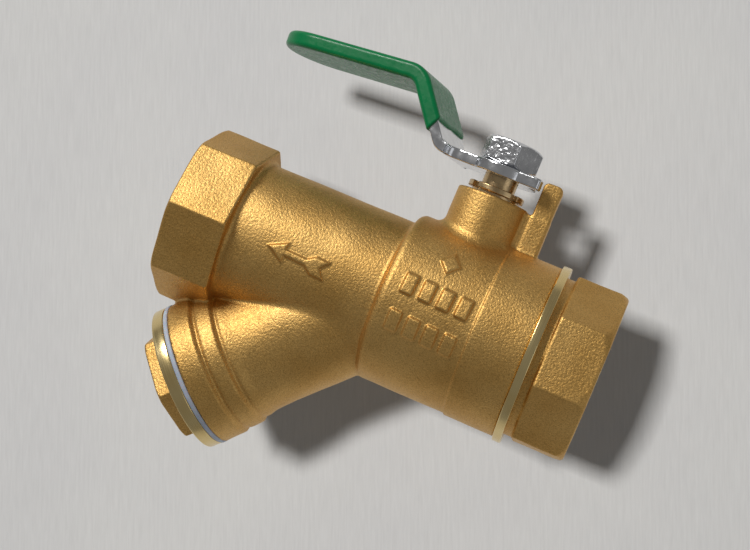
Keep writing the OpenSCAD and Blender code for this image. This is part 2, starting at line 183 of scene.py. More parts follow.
def surface_net(field, xs, ys, zs):
    """Vertices and quads of a field's zero surface, with one vertex in each grid cell that it crosses."""
    values = field(xs[:, None, None], ys[None, :, None], zs[None, None, :]).astype(np.float32)
    inside = values < 0
    n = [len(a) - 1 for a in (xs, ys, zs)]
    corners = [(i, j, k) for i in (0, 1) for j in (0, 1) for k in (0, 1)]
    count = sum(inside[i:n[0] + i, j:n[1] + j, k:n[2] + k].astype(np.int8) for i, j, k in corners)
    cells = np.argwhere((count > 0) & (count < 8))
    ids = np.full(n, -1, np.int32)
    ids[tuple(cells.T)] = np.arange(len(cells))
    axes = (xs, ys, zs)
    place = np.zeros((len(cells), 3))
    hits = np.zeros(len(cells))
    for axis in range(3):
        others = [a for a in range(3) if a != axis]
        for u in (0, 1):
            for v in (0, 1):
                start = cells.copy()
                start[:, others[0]] += u
                start[:, others[1]] += v
                end = start.copy()
                end[:, axis] += 1
                f0 = values[tuple(start.T)]
                f1 = values[tuple(end.T)]
                crossing = (f0 < 0) != (f1 < 0)
                share = np.where(crossing, f0 / np.where(crossing, f0 - f1, 1), 0)
                for a in range(3):
                    p0 = axes[a][start[:, a]]
                    p1 = axes[a][end[:, a]]
                    place[:, a] += np.where(crossing, p0 + share * (p1 - p0), 0)
                hits += crossing
    place /= hits[:, None]
    quads = []
    for axis in range(3):
        a, b = [(1, 2), (2, 0), (0, 1)][axis]
        lower = [slice(None)] * 3
        upper = [slice(None)] * 3
        lower[axis] = slice(0, -1)
        upper[axis] = slice(1, None)
        for o in (a, b):
            lower[o] = slice(1, -1)
            upper[o] = slice(1, -1)
        first, second = inside[tuple(lower)], inside[tuple(upper)]
        edges = np.argwhere(first != second)
        outward = first[tuple(edges.T)]
        base = edges.copy()
        base[:, a] += 1
        base[:, b] += 1
        ring = []
        for da, db in ((-1, -1), (0, -1), (0, 0), (-1, 0)):
            cell = base.copy()
            cell[:, a] += da
            cell[:, b] += db
            ring.append(ids[tuple(cell.T)])
        ring = np.stack(ring, 1)
        ring[~outward] = ring[~outward][:, ::-1]
        quads.append(ring)
    return place, np.concatenate(quads)


def slope_of(field, points, reach=0.02):
    """Gradient of a field at points."""
    columns = []
    for axis in range(3):
        step = np.zeros(3)
        step[axis] = reach
        ahead, behind = (points + step).T, (points - step).T
        columns.append((field(*ahead) - field(*behind)) / (2 * reach))
    return np.stack(columns, 1)


def settled(field, points, limit, rounds=4):
    """Points moved onto the field's zero surface, none further than limit each round."""
    for _ in range(rounds):
        slope = slope_of(field, points)
        size = np.maximum((slope**2).sum(1), 0.2)
        move = -(field(*points.T) / size)[:, None] * slope
        length = np.maximum(np.linalg.norm(move, axis=1), 1e-9)[:, None]
        points = points + move * np.minimum(1, limit / length)
    return points


def mesh_object(name, points, faces):
    """A mesh object from points in millimetres and an array of triangles or quads."""
    mesh = bpy.data.meshes.new(name)
    faces = np.asarray(faces, np.int32)
    sides = faces.shape[1]
    mesh.vertices.add(len(points))
    mesh.vertices.foreach_set("co", (np.asarray(points) * MM).astype(np.float32).ravel())
    mesh.loops.add(faces.size)
    mesh.loops.foreach_set("vertex_index", faces.ravel())
    mesh.polygons.add(len(faces))
    mesh.polygons.foreach_set("loop_start", np.arange(0, faces.size, sides, dtype=np.int32))
    mesh.update(calc_edges=True)
    mesh.validate()
    obj = bpy.data.objects.new(name, mesh)
    bpy.context.scene.collection.objects.link(obj)
    return obj


def carved(name, field, low, high, step, fine_step=None, fine=((), (), ()), most=None):
    """The solid inside a field as a mesh object with the field's own normals.

    step is the grid's spacing, and fine_step the one inside the ranges that fine gives for each axis.
    A mesh of more than most triangles is thinned to that many.
    """
    fine_step = fine_step or step
    axes = [grid_axis(low[i] - step, high[i] + step, step, fine_step, fine[i]) for i in range(3)]
    points, quads = surface_net(field, *axes)
    obj = mesh_object(name, settled(field, points, step / 2), quads)
    if most and 2 * len(quads) > most:
        thin = obj.modifiers.new("thin", "DECIMATE")
        thin.ratio = most / (2 * len(quads))
        graph = bpy.context.evaluated_depsgraph_get()
        finished = bpy.data.meshes.new_from_object(obj.evaluated_get(graph))
        obj.modifiers.clear()
        obj.data = finished
        finished.name = name
    mesh = obj.data
    co = np.zeros(len(mesh.vertices) * 3, np.float32)
    mesh.vertices.foreach_get("co", co)
    points = settled(field, co.reshape(-1, 3).astype(float) / MM, fine_step / 4)
    mesh.vertices.foreach_set("co", (points * MM).astype(np.float32).ravel())
    mesh.polygons.foreach_set("use_smooth", np.ones(len(mesh.polygons), bool))
    normals = slope_of(field, points, 0.05)
    normals /= np.maximum(np.linalg.norm(normals, axis=1), 1e-9)[:, None]
    mesh.update()
    mesh.normals_split_custom_set_from_vertices(normals.astype(np.float32))
    return obj


def rounded_outline(points, radius, closed=True):
    """The outline with an arc of the radius at each corner, or a smaller one where the sides are short."""
    out = []
    count = len(points)
    for i, p in enumerate(points):
        p = np.array(p, float)
        if not closed and i in (0, count - 1):
            out.append(p)
            continue
        before = np.array(points[i - 1], float) - p
        after = np.array(points[(i + 1) % count], float) - p
        size_before, size_after = np.linalg.norm(before), np.linalg.norm(after)
        before /= size_before
        after /= size_after
        angle = math.acos(max(-1, min(1, float(before @ after))))
        if angle > math.pi - 0.05:
            out.append(p)
            continue
        back = min(radius / math.tan(angle / 2), 0.45 * size_before, 0.45 * size_after)
        fitted = back * math.tan(angle / 2)
        centre = p + (before + after) / np.linalg.norm(before + after) * fitted / math.sin(angle / 2)
        start, end = p + before * back - centre, p + after * back - centre
        for t in np.linspace(0, 1, ARC_POINTS):
            blend = start * (1 - t) + end * t
            out.append(centre + blend / np.linalg.norm(blend) * fitted)
    return out


def pipe_place(along, radius, angle):
    """Point at a distance along the pipe, a radius and an angle about the pipe."""
    return np.stack([along + 0 * angle, radius * np.cos(angle), radius * np.sin(angle)], -1)


def leg_place(along, radius, angle):
    """Point at a distance along the strainer leg, a radius and an angle about it."""
    side = radius * np.cos(angle)
    x = LEG_X - HALF_ROOT * along + HALF_ROOT * side
    z = -HALF_ROOT * along - HALF_ROOT * side
    return np.stack([x, radius * np.sin(angle) + 0 * x, z], -1)


def turned(name, rows, place, around=160, flip=False):
    """A turned piece, closed from its last row back to its first.

    Each row is a distance along the axis and a radius, which may be a function of the angle.
    """
    angle = np.arange(around) * 2 * math.pi / around
    rings = []
    for along, radius in rows:
        size = radius(angle) if callable(radius) else np.full(around, float(radius))
        rings.append(place(along, size, angle))
    points = np.concatenate(rings)
    here = np.arange(around)
    after = (here + 1) % around
    quads = []
    for i in range(len(rows)):
        this_ring = i * around
        next_ring = (i + 1) % len(rows) * around
        corners = [this_ring + here, this_ring + after, next_ring + after, next_ring + here]
        quads.append(np.stack(corners, 1))
    quads = np.concatenate(quads)
    if flip:
        quads = quads[:, ::-1]
    obj = mesh_object(name, points, quads)
    mesh = obj.data
    mesh.polygons.foreach_set("use_smooth", np.ones(len(mesh.polygons), bool))
    mesh.set_sharp_from_angle(angle=SHARP_ANGLE)
    return obj


def thread_wave(position):
    """Height of a rounded thread, 0 to 1, at a position counted in pitches."""
    t = np.abs(2 * np.mod(position, 1) - 1)
    return np.clip((t - 0.14) / 0.72, 0, 1)


# ---------------------------------------------------------------- casting

# Flow arrow, as (x, z) on the near side of the barrel
ARROW = [(25, 0), (29.4, 2.4), (29.4, 0.8), (34.6, 0.8), (36.6, 2.2), (40, 2.2),
         (38.2, 0), (40, -2.2), (36.6, -2.2), (34.6, -0.8), (29.4, -0.8), (29.4, -2.4)]
ARROW_TILT = math.radians(-2.3)
# Height of the arrow and the pads above the surface, and the roundings of their edge and foot
RAISED = 0.7
RAISED_EDGE = 0.6
RAISED_FOOT = 0.5
# Rows of plain pads on the chamber, each as (height, number of pads, pitch), and a plain diamond
MARK_X = 65.3
MARK_TILT = math.radians(-2.3)
MARK_ROWS = ((4.0, 4, 4.45), (-4.9, 4, 4.45))
PAD_HALF = (1.5, 2.4)
PAD_CORNER = 0.5
DIAMOND_AT = (65.3, 11.9)
DIAMOND_HALF = 2.4
# Small cast nub high on the chamber
NUB_X = 73.5
NUB_ANGLE = math.radians(76)
NUB_R = 0.9
# Cones that take the corners off the octagons: radius at the port's face, growth per millimetre, and
# the factor that makes the cone's field a distance
OUTLET_CONE = (20.6, 1.5, 0.5)
INLET_CONE = (20.4, 0.7, 0.82)
# Fillets between the parts of the casting
CHAMBER_EDGE = 1.9
CHAMBER_FILLET = 1.1
RIM_EDGE = 0.35
STEP_FILLET = 0.5
NECK_FILLET = 1.9
POST_FILLET = 0.7
LEG_FILLET = 0.8
OCTAGON_FILLET = 1.2
BORE_EDGE = 0.25

# Radius of the strainer leg at distances along it, and the shallow grooves round it
LEG_OUTLINE_S = [0, 30, 35.5, 38.5, 39.6, 43.4, 44.5, LEG_REACH]
LEG_OUTLINE_R = [14.9, 14.95, 15.3, 16.0, 16.6, 16.9, 17.4, 17.6]
LEG_GROOVES = (38.7, 43.6)
LEG_GROOVE_DEPTH = 0.4
LEG_GROOVE_HALF = 0.6
# Factor that makes the tapering leg's field a distance
LEG_SLOPE = 0.985

# Bores as (radius, start, end), in the leg, in the ball chamber from the stem's axis, and round the stem
LEG_BORES = ((9, 11, 14.3), (11.1, 14.2, 16.3), (12.6, 16.2, 38.6), (14.3, 38.5, LEG_REACH + 2))
CHAMBER_BORES = ((14.2, -14.2, -12), (16.6, -12.2, 9.1), (18.5, 9, 24))
STEM_BORES = ((5.55, 10, 20), (4.16, 19.9, 22.7), (6, 22.6, NECK_TOP + 2))
STRAINED_R = 14.6
PASSAGE_R = 9.7
# The slanted wall that parts the passage from the strained water, as offsets from the leg's axis
WALL_SIDES = (-11.8, -9.5)
# From here outwards the strained water's space takes the leg's whole width
SCREEN_SEAT_END = 17.5
# End connector: its spigot, its back beyond the ball's seat, and its narrowest waterway
SPIGOT_R = 18.35
SEAT_BACK_R = 14.2
CONE_START_R = 10


def raised_marks(x, z):
    """2-D distance to the plain pads and the diamond on the chamber."""
    c, s = math.cos(MARK_TILT), math.sin(MARK_TILT)
    u = (x - MARK_X) * c + z * s
    v = -(x - MARK_X) * s + z * c
    best = (np.abs(x - DIAMOND_AT[0]) + np.abs(z - DIAMOND_AT[1]) - DIAMOND_HALF) * HALF_ROOT
    for height, number, pitch in MARK_ROWS:
        for i in range(number):
            middle = (i - (number - 1) / 2) * pitch
            across = np.abs(u - middle) - PAD_HALF[0] + PAD_CORNER
            up = np.abs(v - height) - PAD_HALF[1] + PAD_CORNER
            beyond = np.hypot(np.maximum(across, 0), np.maximum(up, 0))
            pad = beyond + np.minimum(np.maximum(across, up), 0) - PAD_CORNER
            best = np.minimum(best, pad)
    return best


def casting_outside(x, y, z):
    """Outside of the cast body."""
    pipe_r = np.hypot(y, z)
    stem_r = np.hypot(x - STEM_X, y)
    along, _, leg_r = leg_axes(x, y, z)
    barrel = np.maximum(pipe_r - BARREL_R, between(x, 10, CHAMBER_START + 8))
    chamber = overlap(pipe_r - CHAMBER_R, between(x, CHAMBER_START, BODY_END - 4), CHAMBER_EDGE)
    rim = overlap(pipe_r - CHAMBER_RIM_R, between(x, CHAMBER_STEP, BODY_END), RIM_EDGE)
    shape = joined(joined(barrel, chamber, CHAMBER_FILLET), rim, STEP_FILLET)
    neck = np.maximum(overlap(stem_r - NECK_R, z - NECK_TOP, 0.5), -z)
    shape = joined(shape, neck, NECK_FILLET)
    post = overlap(overlap(np.abs(x - POST_CENTRE) - POST_HALF_X, z - POST_TOP, 1.3),
                   np.abs(y) - POST_HALF_Y, 0.6)
    foot = overlap(between(x, STEM_X + 7, POST_CENTRE + POST_HALF_X - 0.1), z - NECK_TOP + 0.5, 0.4)
    foot = overlap(foot, np.abs(y) - POST_HALF_Y + 0.1, 0.5)
    shape = joined(shape, np.maximum(joined(post, foot, 0.5), -z), POST_FILLET)
    leg = leg_r - np.interp(along, LEG_OUTLINE_S, LEG_OUTLINE_R)
    for groove in LEG_GROOVES:
        leg = leg + LEG_GROOVE_DEPTH * np.exp(-((along - groove) / LEG_GROOVE_HALF)**2)
    leg = leg * LEG_SLOPE
    leg = np.maximum(overlap(leg, along - LEG_REACH, RIM_EDGE), 2 - along)
    shape = joined(shape, leg, LEG_FILLET)
    turn = math.radians(HALF_SECTOR - OUTLET_TURN)
    octagon = regular_bar(y, z, 8, turn, OCTAGON_FLAT, OCTAGON_CORNER)
    octagon = overlap(octagon, between(x, 0.03, OUTLET_LENGTH), OCTAGON_EDGE)
    face_r, growth, scale = OUTLET_CONE
    octagon = overlap(octagon, (pipe_r - face_r - growth * x) * scale, 0.3)
    shape = joined(shape, octagon, OCTAGON_FILLET)
    c, s = math.cos(ARROW_TILT), math.sin(ARROW_TILT)
    tip_x = ARROW[0][0]
    arrow = polygon_distance((x - tip_x) * c + z * s + tip_x, -(x - tip_x) * s + z * c, ARROW)
    arrow = overlap(arrow, np.maximum(pipe_r - BARREL_R - RAISED, y), RAISED_EDGE)
    shape = joined(shape, arrow, RAISED_FOOT)
    marks = overlap(raised_marks(x, z), np.maximum(pipe_r - CHAMBER_R - RAISED, y), RAISED_EDGE)
    shape = joined(shape, marks, RAISED_FOOT)
    nub_at = (NUB_X, -CHAMBER_R * math.cos(NUB_ANGLE), CHAMBER_R * math.sin(NUB_ANGLE))
    nub = np.sqrt((x - nub_at[0])**2 + (y - nub_at[1])**2 + (z - nub_at[2])**2) - NUB_R
    return joined(shape, nub, 0.6) + cast_waves(x, y, z)


def casting_inside(x, y, z):
    """Ports, strained-water space, passage, screen leg, ball chamber and stem bores."""
    pipe_r = np.hypot(y, z)
    stem_r = np.hypot(x - STEM_X, y)
    along, side, leg_r = leg_axes(x, y, z)
    hollow = np.maximum(pipe_r - LINER_R, x - PORT_DEPTH - PORT_RELIEF)
    strained = np.maximum(pipe_r - STRAINED_R, between(x, PORT_DEPTH, CHAMBER_START))
    beyond_wall = np.minimum(side - WALL_SIDES[0], SCREEN_SEAT_END - along)
    hollow = np.minimum(hollow, np.maximum(strained, beyond_wall))
    passage = np.maximum(pipe_r - PASSAGE_R, between(x, CHAMBER_START - 20, STEM_X - 13.7))
    hollow = np.minimum(hollow, np.maximum(passage, WALL_SIDES[1] - side))
    for radius, start, end in LEG_BORES:
        hollow = np.minimum(hollow, np.maximum(leg_r - radius, between(along, start, end)))
    for radius, start, end in CHAMBER_BORES:
        hollow = np.minimum(hollow, np.maximum(pipe_r - radius, between(x - STEM_X, start, end)))
    for radius, start, end in STEM_BORES:
        hollow = np.minimum(hollow, np.maximum(stem_r - radius, between(z, start, end)))
    return hollow


def casting(x, y, z):
    """The whole cast body."""
    return overlap(casting_outside(x, y, z), -casting_inside(x, y, z), BORE_EDGE)


def connector_casting(x, y, z):
    """Inlet end: spigot inside the chamber, groove and octagon, without the turned collar."""
    pipe_r = np.hypot(y, z)
    groove_start = BODY_END + COLLAR_LENGTH
    octagon_start = groove_start + GROOVE_LENGTH
    spigot = np.maximum(pipe_r - SPIGOT_R, between(x, connector_low[0], groove_start + 0.5))
    groove = np.maximum(pipe_r - GROOVE_R, between(x, BODY_END + 0.3, octagon_start + 1))
    turn = math.radians(HALF_SECTOR - INLET_TURN)
    octagon = regular_bar(y, z, 8, turn, OCTAGON_FLAT, OCTAGON_CORNER)
    octagon = overlap(octagon, between(x, octagon_start, LENGTH - 0.03), OCTAGON_EDGE)
    face_r, growth, scale = INLET_CONE
    octagon = overlap(octagon, (pipe_r - face_r + growth * (x - LENGTH)) * scale, 0.4)
    shape = joined(np.minimum(spigot, groove), octagon, 0.4)
    bottom = LENGTH - PORT_DEPTH - PORT_RELIEF
    seat_back = STEM_X + 14.2
    hollow = np.maximum(pipe_r - LINER_R, bottom - x)
    hollow = np.minimum(hollow, np.maximum(pipe_r - SEAT_BACK_R, x - seat_back))
    widened = np.clip((x - seat_back - 3) / (bottom - seat_back - 3), 0, 1)
    cone = CONE_START_R + widened * (PORT_CORE_R - 11.5)
    hollow = np.minimum(hollow, np.maximum(pipe_r - cone, x - bottom))
    return overlap(shape, -hollow, BORE_EDGE) + cast_waves(x, y, z)


# ---------------------------------------------------------------- lever

HUB_R = 8.5
STRIP_HALF_T = 1.3
STRIP_HALF_W = 10.3
TIP_HALF_W = 9.6
NECK_HALF_W = 6.5
# Slopes of the rise and of the grip, mid-line radii of the two bends, and where the bends stand
RISE = math.radians(52)
SLOPE = math.radians(3.4)
FOOT_BEND = 3.0
TOP_BEND = 5.2
BEND_R = 14.2
PLATE_Z = lever_low[2] + STRIP_HALF_T
TOP_Z = 51.0
REACH = 64.4
# Thickness of the grip's vinyl, and how far up the rise it starts
SKIN = 0.7
GRIP_START = 3.6
# Stop ears, as ranges of length and of width
EARS = (((-10.8, 0), (-6.7, -3.1)), ((3.1, 6.7), (0, 10.8)))

# The strip's mid-line, as (distance from the stem, height): plate, bend up, rise, bend level and grip.
# RISE_AT, GRIP_AT and STRIP_END are lengths along it from the stem
FOOT = np.array([BEND_R, PLATE_Z])
RISE_WAY = np.array([math.cos(RISE), math.sin(RISE)])
GRIP_WAY = np.array([math.cos(SLOPE), -math.sin(SLOPE)])
TOP = FOOT + RISE_WAY * (TOP_Z - PLATE_Z) / RISE_WAY[1]
FOOT_BACK = FOOT_BEND * math.tan(RISE / 2)
TOP_BACK = TOP_BEND * math.tan((RISE + SLOPE) / 2)
PLATE_END = FOOT[0] - FOOT_BACK
RISE_FROM = FOOT + RISE_WAY * FOOT_BACK
RISE_TO = TOP - RISE_WAY * TOP_BACK
GRIP_FROM = TOP + GRIP_WAY * TOP_BACK
RISE_AT = PLATE_END + FOOT_BEND * RISE
RISE_LENGTH = np.linalg.norm(RISE_TO - RISE_FROM)
GRIP_AT = RISE_AT + RISE_LENGTH + TOP_BEND * (RISE + SLOPE)
STRIP_END = GRIP_AT + (REACH - GRIP_FROM[0]) / GRIP_WAY[0]


def lever_strip(x, y, z):
    """Length along the strip from the stem, offset across its width, and height above its mid-plane."""
    c, s = math.cos(REST_TURN), math.sin(REST_TURN)
    dx = x - STEM_X
    r = -(dx * c + y * s)
    width = -dx * s + y * c
    length = r + 0 * z
    height = z - PLATE_Z + 0 * r
    best = np.hypot(np.maximum(r - PLATE_END, 0), height)
    straights = ((RISE_FROM, RISE_WAY, RISE_AT, RISE_LENGTH), (GRIP_FROM, GRIP_WAY, GRIP_AT, math.inf))
    for start, way, start_at, extent in straights:
        rx, rz = r - start[0], z - start[1]
        along = rx * way[0] + rz * way[1]
        across = -rx * way[1] + rz * way[0]
        far = np.hypot(np.maximum(np.maximum(-along, along - extent), 0), across)
        nearer = far < best
        length = np.where(nearer, start_at + along, length)
        height = np.where(nearer, across, height)
        best = np.minimum(best, far)
    centre = (PLATE_END, PLATE_Z + FOOT_BEND)
    angle = np.arctan2(r - centre[0], centre[1] - z)
    across = FOOT_BEND - np.hypot(r - centre[0], z - centre[1])
    in_bend = (angle > 0) & (angle < RISE) & (np.abs(across) < best)
    length = np.where(in_bend, centre[0] + FOOT_BEND * angle, length)
    height = np.where(in_bend, across, height)
    best = np.where(in_bend, np.abs(across), best)
    centre = RISE_TO + TOP_BEND * np.array([RISE_WAY[1], -RISE_WAY[0]])
    turned_by = RISE - np.arctan2(-(r - centre[0]), z - centre[1])
    across = np.hypot(r - centre[0], z - centre[1]) - TOP_BEND
    in_bend = (turned_by > 0) & (turned_by < RISE + SLOPE) & (np.abs(across) < best)
    length = np.where(in_bend, RISE_AT + RISE_LENGTH + TOP_BEND * turned_by, length)
    height = np.where(in_bend, across, height)
    return length, width, height


def strip_outline(length, width, grown=0.0):
    """2-D distance to the outline of the strip's broad part and its round tip."""
    half = np.interp(length, [0, 30, STRIP_END], [STRIP_HALF_W, STRIP_HALF_W, TIP_HALF_W])
    beyond = np.maximum(length - (STRIP_END - TIP_HALF_W), 0)
    return np.hypot(beyond, width) - half - grown


def lever_outline(length, width):
    """2-D distance to the whole flat blank: hub, neck, strip and stop ears."""
    hub = np.hypot(length, width) - HUB_R
    neck = np.maximum(np.abs(width) - NECK_HALF_W, between(length, 0, 16))
    broad = np.maximum(strip_outline(length, width), 12.6 - length)
    shape = np.minimum(hub, joined(neck, broad, 2.6))
    for (l0, l1), (w0, w1) in EARS:
        shape = np.minimum(shape, overlap(between(length, l0, l1), between(width, w0, w1), 0.9))
    return shape


def lever_field(x, y, z):
    """Bent steel strip with the hole that fits the stem's two flats."""
    length, width, height = lever_strip(x, y, z)
    solid = overlap(lever_outline(length, width), np.abs(height) - STRIP_HALF_T, 0.3)
    hole = np.maximum(np.hypot(length, width) - 4.1, np.abs(width) - 3.1)
    return np.maximum(solid, -hole)


def grip_field(x, y, z):
    """Dipped vinyl over the strip, with the slanted, slightly uneven edge of the dip."""
    length, width, height = lever_strip(x, y, z)
    start = RISE_AT + GRIP_START + 0.46 * height + 0.15 * np.sin(0.55 * width)
    outside = overlap(strip_outline(length, width, SKIN), np.abs(height) - STRIP_HALF_T - SKIN, 1.15)
    return overlap(outside, start - length, 0.5)


# ---------------------------------------------------------------- small turned and hexagonal pieces

NUT_FLAT = 6.5
NUT_TURN = REST_TURN + math.radians(27)
# Cap: hexagon, flange and the face that presses on the gasket, as a distance along the leg
CAP_FLAT = 12.0
CAP_TURN = math.radians(48)
CAP_SEAT = LEG_REACH + 1.13
FLANGE_R = 17.6
FLANGE_T = 2.9
HEX_H = 4.2
# G1 thread of the ports and the cap's thread
PORT_PITCH = 2.309
PORT_THREAD_DEPTH = 1.48
PORT_THREAD_START = 1.35
PORT_THREAD_END = 14.9
CAP_PITCH = 1.5
CAP_ROOT_R = 13.1
CAP_CREST_R = 14.05
CAP_BORE_R = 11.15
# A turned face ends this near its axis, so that its rings never meet in a point
AXIS_R = 0.02


def nut_field(x, y, z):
    """Hexagon nut with coned corners and a countersunk hole."""
    dx = x - STEM_X
    radius = np.hypot(dx, y)
    hexagon = regular_bar(dx, y, 6, NUT_TURN, NUT_FLAT, 0.25)
    solid = overlap(hexagon, between(z, nut_low[2], nut_high[2]), 0.15)
    for height in (z - nut_high[2], nut_low[2] - z):
        cone = (radius - 6.05) * 0.55 + height * 0.83
        solid = overlap(solid, cone, 0.2)
    mouth = np.minimum(radius - 3.92, (radius - 4.5 + (nut_high[2] - z)) * HALF_ROOT)
    return overlap(solid, -mouth, 0.1)


def gland_field(x, y, z):
    """Gland nut: barrel inside the neck and a thin flange with four notches."""
    dx = x - STEM_X
    radius = np.hypot(dx, y)
    barrel = np.maximum(radius - 5.7, between(z, NECK_TOP - 0.6, gland_high[2] - 0.5))
    thread = np.maximum(radius - 5.95, between(z, gland_low[2], NECK_TOP - 0.6))
    flange = overlap(radius - 6.9, between(z, gland_high[2] - 1.4, gland_high[2]), 0.22)
    solid = np.minimum(np.minimum(barrel, thread), flange)
    u, v = (dx + y) * HALF_ROOT, (y - dx) * HALF_ROOT
    for a, b in ((u, v), (v, u)):
        slot = np.maximum(np.abs(b) - 1.0, np.maximum(5.6 - np.abs(a), gland_high[2] - 1.45 - z))
        solid = overlap(solid, -slot, 0.12)
    return np.maximum(solid, 4.2 - radius)


def cap_hexagon_field(x, y, z):
    """Cast hexagon head of the cap with coned corners."""
    along, side, radius = leg_axes(x, y, z)
    start = CAP_SEAT + FLANGE_T
    hexagon = regular_bar(-side, y, 6, CAP_TURN, CAP_FLAT, 0.5)
    solid = overlap(hexagon, between(along, start - 0.2, start + HEX_H), 0.4)
    cone = (radius - 12.9) * 0.5 + (along - start - HEX_H) * 0.866
    return overlap(solid, cone, 0.3) + 0.4 * cast_waves(x * 2, y * 2, z * 2)


def threaded_liner(name, face_x, inward):
    """Turned port: the flat face, the mouth's chamfer and the G1 thread.

    inward is 1 if the port runs towards +X, and -1 if it runs towards -X.
    """
    outer = LINER_R + 0.05
    rows = [(face_x + inward * PORT_THREAD_END, outer), (face_x + inward * 0.75, outer)]
    rim = [(0.75, LINER_R), (0.75, 19.2), (0, 19.2), (0, 17.3), (1.2, 16.1)]
    rim = rounded_outline(rim, 0.2, closed=False)
    rows += [(face_x + inward * a, r) for a, r in rim[1:]]
    for a in np.linspace(PORT_THREAD_START, PORT_THREAD_END, 88):
        def radius(angle, a=a):
            runout = np.clip((PORT_THREAD_END - a) / PORT_RELIEF, 0, 1)
            cut = thread_wave((a - inward * PORT_PITCH * angle / (2 * math.pi)) / PORT_PITCH)
            return np.maximum(PORT_CORE_R + PORT_THREAD_DEPTH * runout * cut, 17.2 - 0.9 * a)
        rows.append((face_x + inward * a, radius))
    return turned(name, rows, pipe_place, around=144, flip=inward < 0)


def cap_flange(name):
    """Turned flange and threaded spigot of the cap, hollow where it holds the screen."""
    spigot_start = CAP_SEAT - 10.7
    thread_end = CAP_SEAT - 1.2
    recess_end = LEG_REACH + 0.75
    rows = [(recess_end, AXIS_R), (recess_end, CAP_BORE_R), (spigot_start, CAP_BORE_R), (spigot_start, 12.6)]
    for a in np.linspace(spigot_start + 0.5, thread_end, 70):
        def radius(angle, a=a):
            fade = np.clip((thread_end - a) / 1.2, 0, 1) * np.clip((a - spigot_start - 0.3) / 0.8, 0, 1)
            cut = thread_wave((a + CAP_PITCH * angle / (2 * math.pi)) / CAP_PITCH)
            return CAP_ROOT_R + (CAP_CREST_R - CAP_ROOT_R) * fade * cut
        rows.append((a, radius))
    flange_end = CAP_SEAT + FLANGE_T
    edge = [(CAP_SEAT - 1, CAP_ROOT_R), (CAP_SEAT, CAP_ROOT_R), (CAP_SEAT, FLANGE_R),
            (flange_end, FLANGE_R), (flange_end, AXIS_R)]
    rows += [(a, r) for a, r in rounded_outline(edge, 0.3, closed=False)]
    return turned(name, rows, leg_place, around=144, flip=True)


def turned_ring(name, start, end, inner, outer, place, rounding):
    """A flat ring with rounded edges, between two places on its axis and two radii."""
    outline = [(start, inner), (start, outer), (end, outer), (end, inner)]
    return turned(name, rounded_outline(outline, rounding), place)


# ---------------------------------------------------------------- materials


class Shader:
    """A material with a Principled shader and short ways to add nodes."""

    def __init__(self, name, **values):
        self.material = bpy.data.materials.new(name)
        self.material.use_nodes = True
        self.tree = self.material.node_tree
        self.principled = self.tree.nodes["Principled BSDF"]
        self.coordinates = self.tree.nodes.new("ShaderNodeTexCoord").outputs["Object"]
        self.bump_normal = None
        for key, value in values.items():
            self.principled.inputs[key.replace("_", " ")].default_value = value

    def link(self, source, target):
        self.tree.links.new(source, target)

    def stretched(self, scale, rotation=(0, 0, 0)):
        """Object coordinates turned and then scaled differently along each axis."""
        turn = self.tree.nodes.new("ShaderNodeMapping")
        turn.inputs["Rotation"].default_value = rotation
        self.link(self.coordinates, turn.inputs["Vector"])
        size = self.tree.nodes.new("ShaderNodeMapping")
        size.inputs["Scale"].default_value = scale
        self.link(turn.outputs["Vector"], size.inputs["Vector"])
        return size.outputs["Vector"]

    def noise(self, scale, detail=2.0, roughness=0.5, vector=None):
        node = self.tree.nodes.new("ShaderNodeTexNoise")
        node.inputs["Scale"].default_value = scale
        node.inputs["Detail"].default_value = detail
        node.inputs["Roughness"].default_value = roughness
        self.link(vector or self.coordinates, node.inputs["Vector"])
        return node.outputs["Fac"]

    def bump(self, height, distance, strength=1.0):
        """Adds a bump on top of those already there."""
        node = self.tree.nodes.new("ShaderNodeBump")
        node.inputs["Strength"].default_value = strength
        node.inputs["Distance"].default_value = distance
        self.link(height, node.inputs["Height"])
        if self.bump_normal:
            self.link(self.bump_normal, node.inputs["Normal"])
        self.bump_normal = node.outputs["Normal"]
        self.link(self.bump_normal, self.principled.inputs["Normal"])

    def ramp(self, factor, stops):
        node = self.tree.nodes.new("ShaderNodeValToRGB")
        elements = node.color_ramp.elements
        while len(elements) < len(stops):
            elements.new(0.5)
        for element, (place, colour) in zip(elements, stops):
            element.position = place
            element.color = (*colour, 1)
        self.link(factor, node.inputs["Fac"])
        return node.outputs["Color"]

    def product(self, a, b, share=1.0):
        node = self.tree.nodes.new("ShaderNodeMix")
        node.data_type = "RGBA"
        node.blend_type = "MULTIPLY"
        node.inputs["Factor"].default_value = share
        self.link(a, node.inputs["A"])
        self.link(b, node.inputs["B"])
        return node.outputs["Result"]

    def spread(self, factor, low, high, start=0.3, end=0.7):
        node = self.tree.nodes.new("ShaderNodeMapRange")
        node.inputs["From Min"].default_value = start
        node.inputs["From Max"].default_value = end
        node.inputs["To Min"].default_value = low
        node.inputs["To Max"].default_value = high
        self.link(factor, node.inputs["Value"])
        return node.outputs["Result"]

    def colour(self, socket):
        self.link(socket, self.principled.inputs["Base Color"])

    def rough(self, socket):
        self.link(socket, self.principled.inputs["Roughness"])


def cast_brass(name):
    """Blasted cast brass: golden, with a fine grain that sparkles."""
    m = Shader(name, Metallic=1.0)
    grain = m.noise(4000, detail=2.0, roughness=0.6)
    pebbles = m.noise(1900, detail=1.0)
    patches = m.noise(75, detail=3.0)
    tone = m.ramp(patches, [(0.3, (0.74, 0.44, 0.13)), (0.7, (0.86, 0.55, 0.19))])
    pits = m.ramp(grain, [(0.3, (0.55, 0.5, 0.42)), (0.55, (1, 1, 1))])
    m.colour(m.product(tone, pits, 0.8))
    m.rough(m.spread(pebbles, 0.42, 0.55))
    m.bump(pebbles, 0.00014, 0.7)
    m.bump(grain, 0.00008, 0.8)
    return m.material


